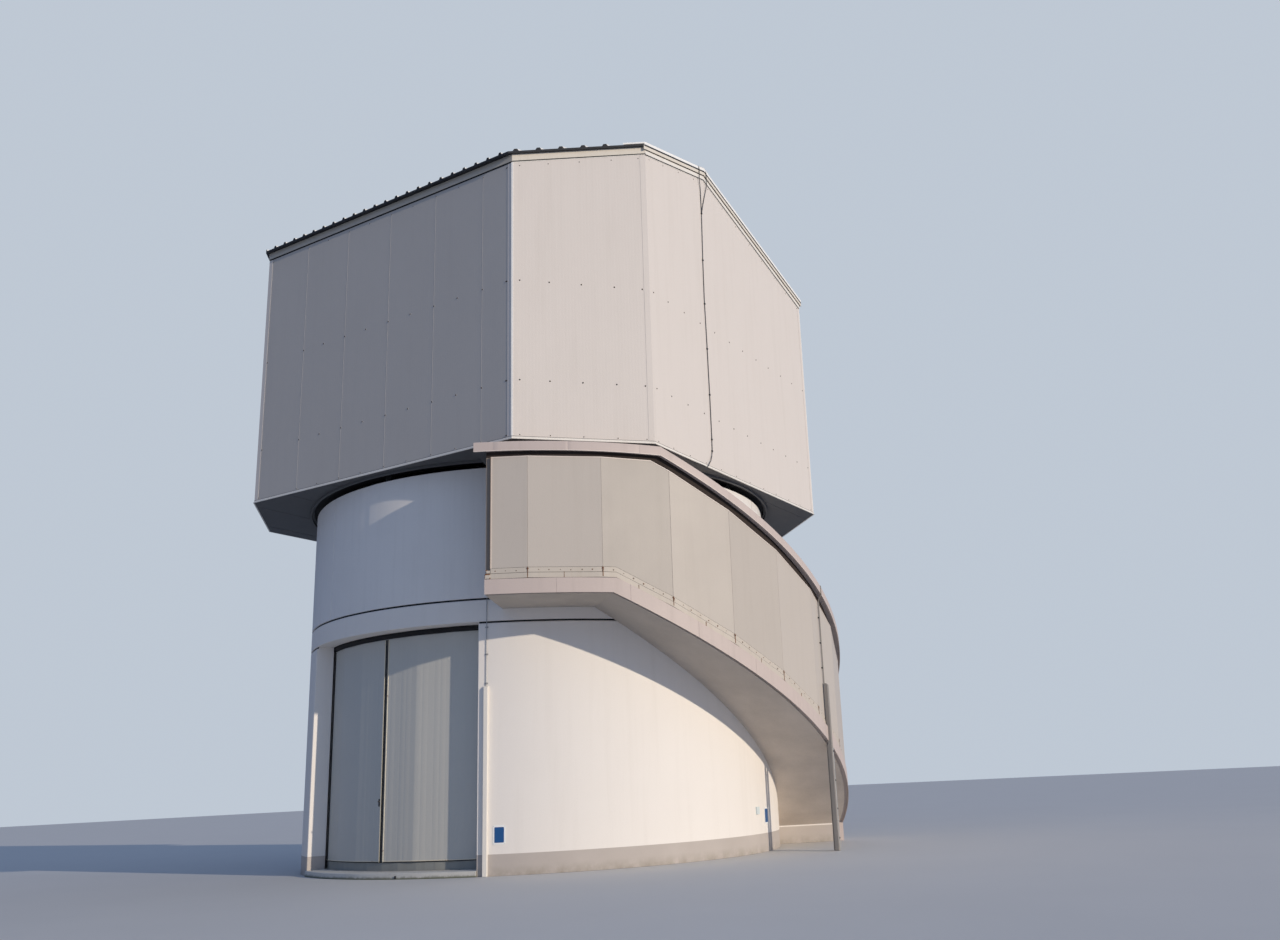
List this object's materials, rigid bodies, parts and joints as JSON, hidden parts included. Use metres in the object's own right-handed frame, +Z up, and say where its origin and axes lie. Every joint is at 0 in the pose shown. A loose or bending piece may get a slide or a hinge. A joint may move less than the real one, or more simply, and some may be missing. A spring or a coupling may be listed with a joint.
{
  "type": "observatory building with a turning roof enclosure",
  "caption": "Round observatory drum with curved sliding doors, a clad stair winding round it and a turning eight-sided enclosure under a gable roof.",
  "frame": {"origin": "on the ground, on the vertical axis of the round drum and of the turning enclosure", "axes": "+Z up; -Y out through the middle of the sliding doors; +X to the right of someone who looks at the doors"},
  "size_m": [10.7915, 10.1429, 12.832],
  "materials": {
    "white_render": "white paint on render, weathered, warm grey plinth band",
    "concrete": "bare grey concrete",
    "light_cladding": "satin coated ribbed sheet, slightly dusty",
    "stair_cladding": "satin coated sheet panels, rust at the foot",
    "warm_trim": "satin pinkish grey coated flashing",
    "grey_trim": "satin grey trim",
    "door_steel": "satin blue grey paint with vertical streaks",
    "dark_roof": "dark coated ribbed sheet",
    "dark_soffit": "matte dark grey",
    "dark_steel": "dark paint, worn",
    "galvanised_steel": "dull galvanised"
  },
  "bodies": {
    "building": {"lower_wall_right": "white_render", "lower_wall_back": "white_render", "lower_wall_left": "white_render", "ring_beam": "white_render", "upper_wall_right": "white_render", "upper_wall_back": "white_render", "upper_wall_left": "white_render", "upper_door_lintel": "white_render", "ground_floor": "concrete", "upper_floor": "concrete", "turning_rail": "dark_steel", "door_sill": "concrete", "door_bottom_guide": "galvanised_steel", "door_top_track": "dark_steel", "stair_landing": "concrete", "stair_flight_upper": "concrete", "stair_flight_lower": "concrete", "understair_wall": "white_render", "stair_fascia": "warm_trim", "stair_wall_landing": "stair_cladding", "stair_wall_upper": "stair_cladding", "stair_wall_lower": "stair_cladding", "stair_end_wall": "stair_cladding", "stair_entrance_wall": "stair_cladding", "stair_roof_upper": "warm_trim", "stair_roof_lower": "warm_trim", "stair_post": "dark_steel", "conductor_cover_door": "grey_trim", "conductor_cover_stair": "grey_trim"},
    "enclosure": {"enclosure_wall_right": "light_cladding", "enclosure_wall_back_right": "light_cladding", "enclosure_wall_back": "light_cladding", "enclosure_wall_back_left": "light_cladding", "enclosure_wall_left": "light_cladding", "enclosure_wall_front_left": "light_cladding", "enclosure_wall_front": "light_cladding", "enclosure_wall_front_right": "light_cladding", "enclosure_soffit": "dark_soffit", "enclosure_opening_ring": "grey_trim", "enclosure_base_ring": "dark_steel", "roof_front": "dark_roof", "roof_back": "dark_roof", "roof_ridge_cap": "light_cladding"},
    "door_right": {"door_leaf_right": "door_steel"},
    "door_left": {"door_leaf_left": "door_steel"}
  },
  "joints": [
    {"name": "enclosure_turn", "type": "hinge", "parent": "building", "child": "enclosure", "pos_m": [0, 0, 6.6], "axis": [0, 0, 1], "continuous": true},
    {"name": "door_right_slide", "type": "hinge", "parent": "building", "child": "door_right", "pos_m": [0, 0, 2], "axis": [0, 0, 1], "range_deg": [0, 27]},
    {"name": "door_left_slide", "type": "hinge", "parent": "building", "child": "door_left", "pos_m": [0, 0, 2], "axis": [0, 0, -1], "range_deg": [0, 27]}
  ]
}
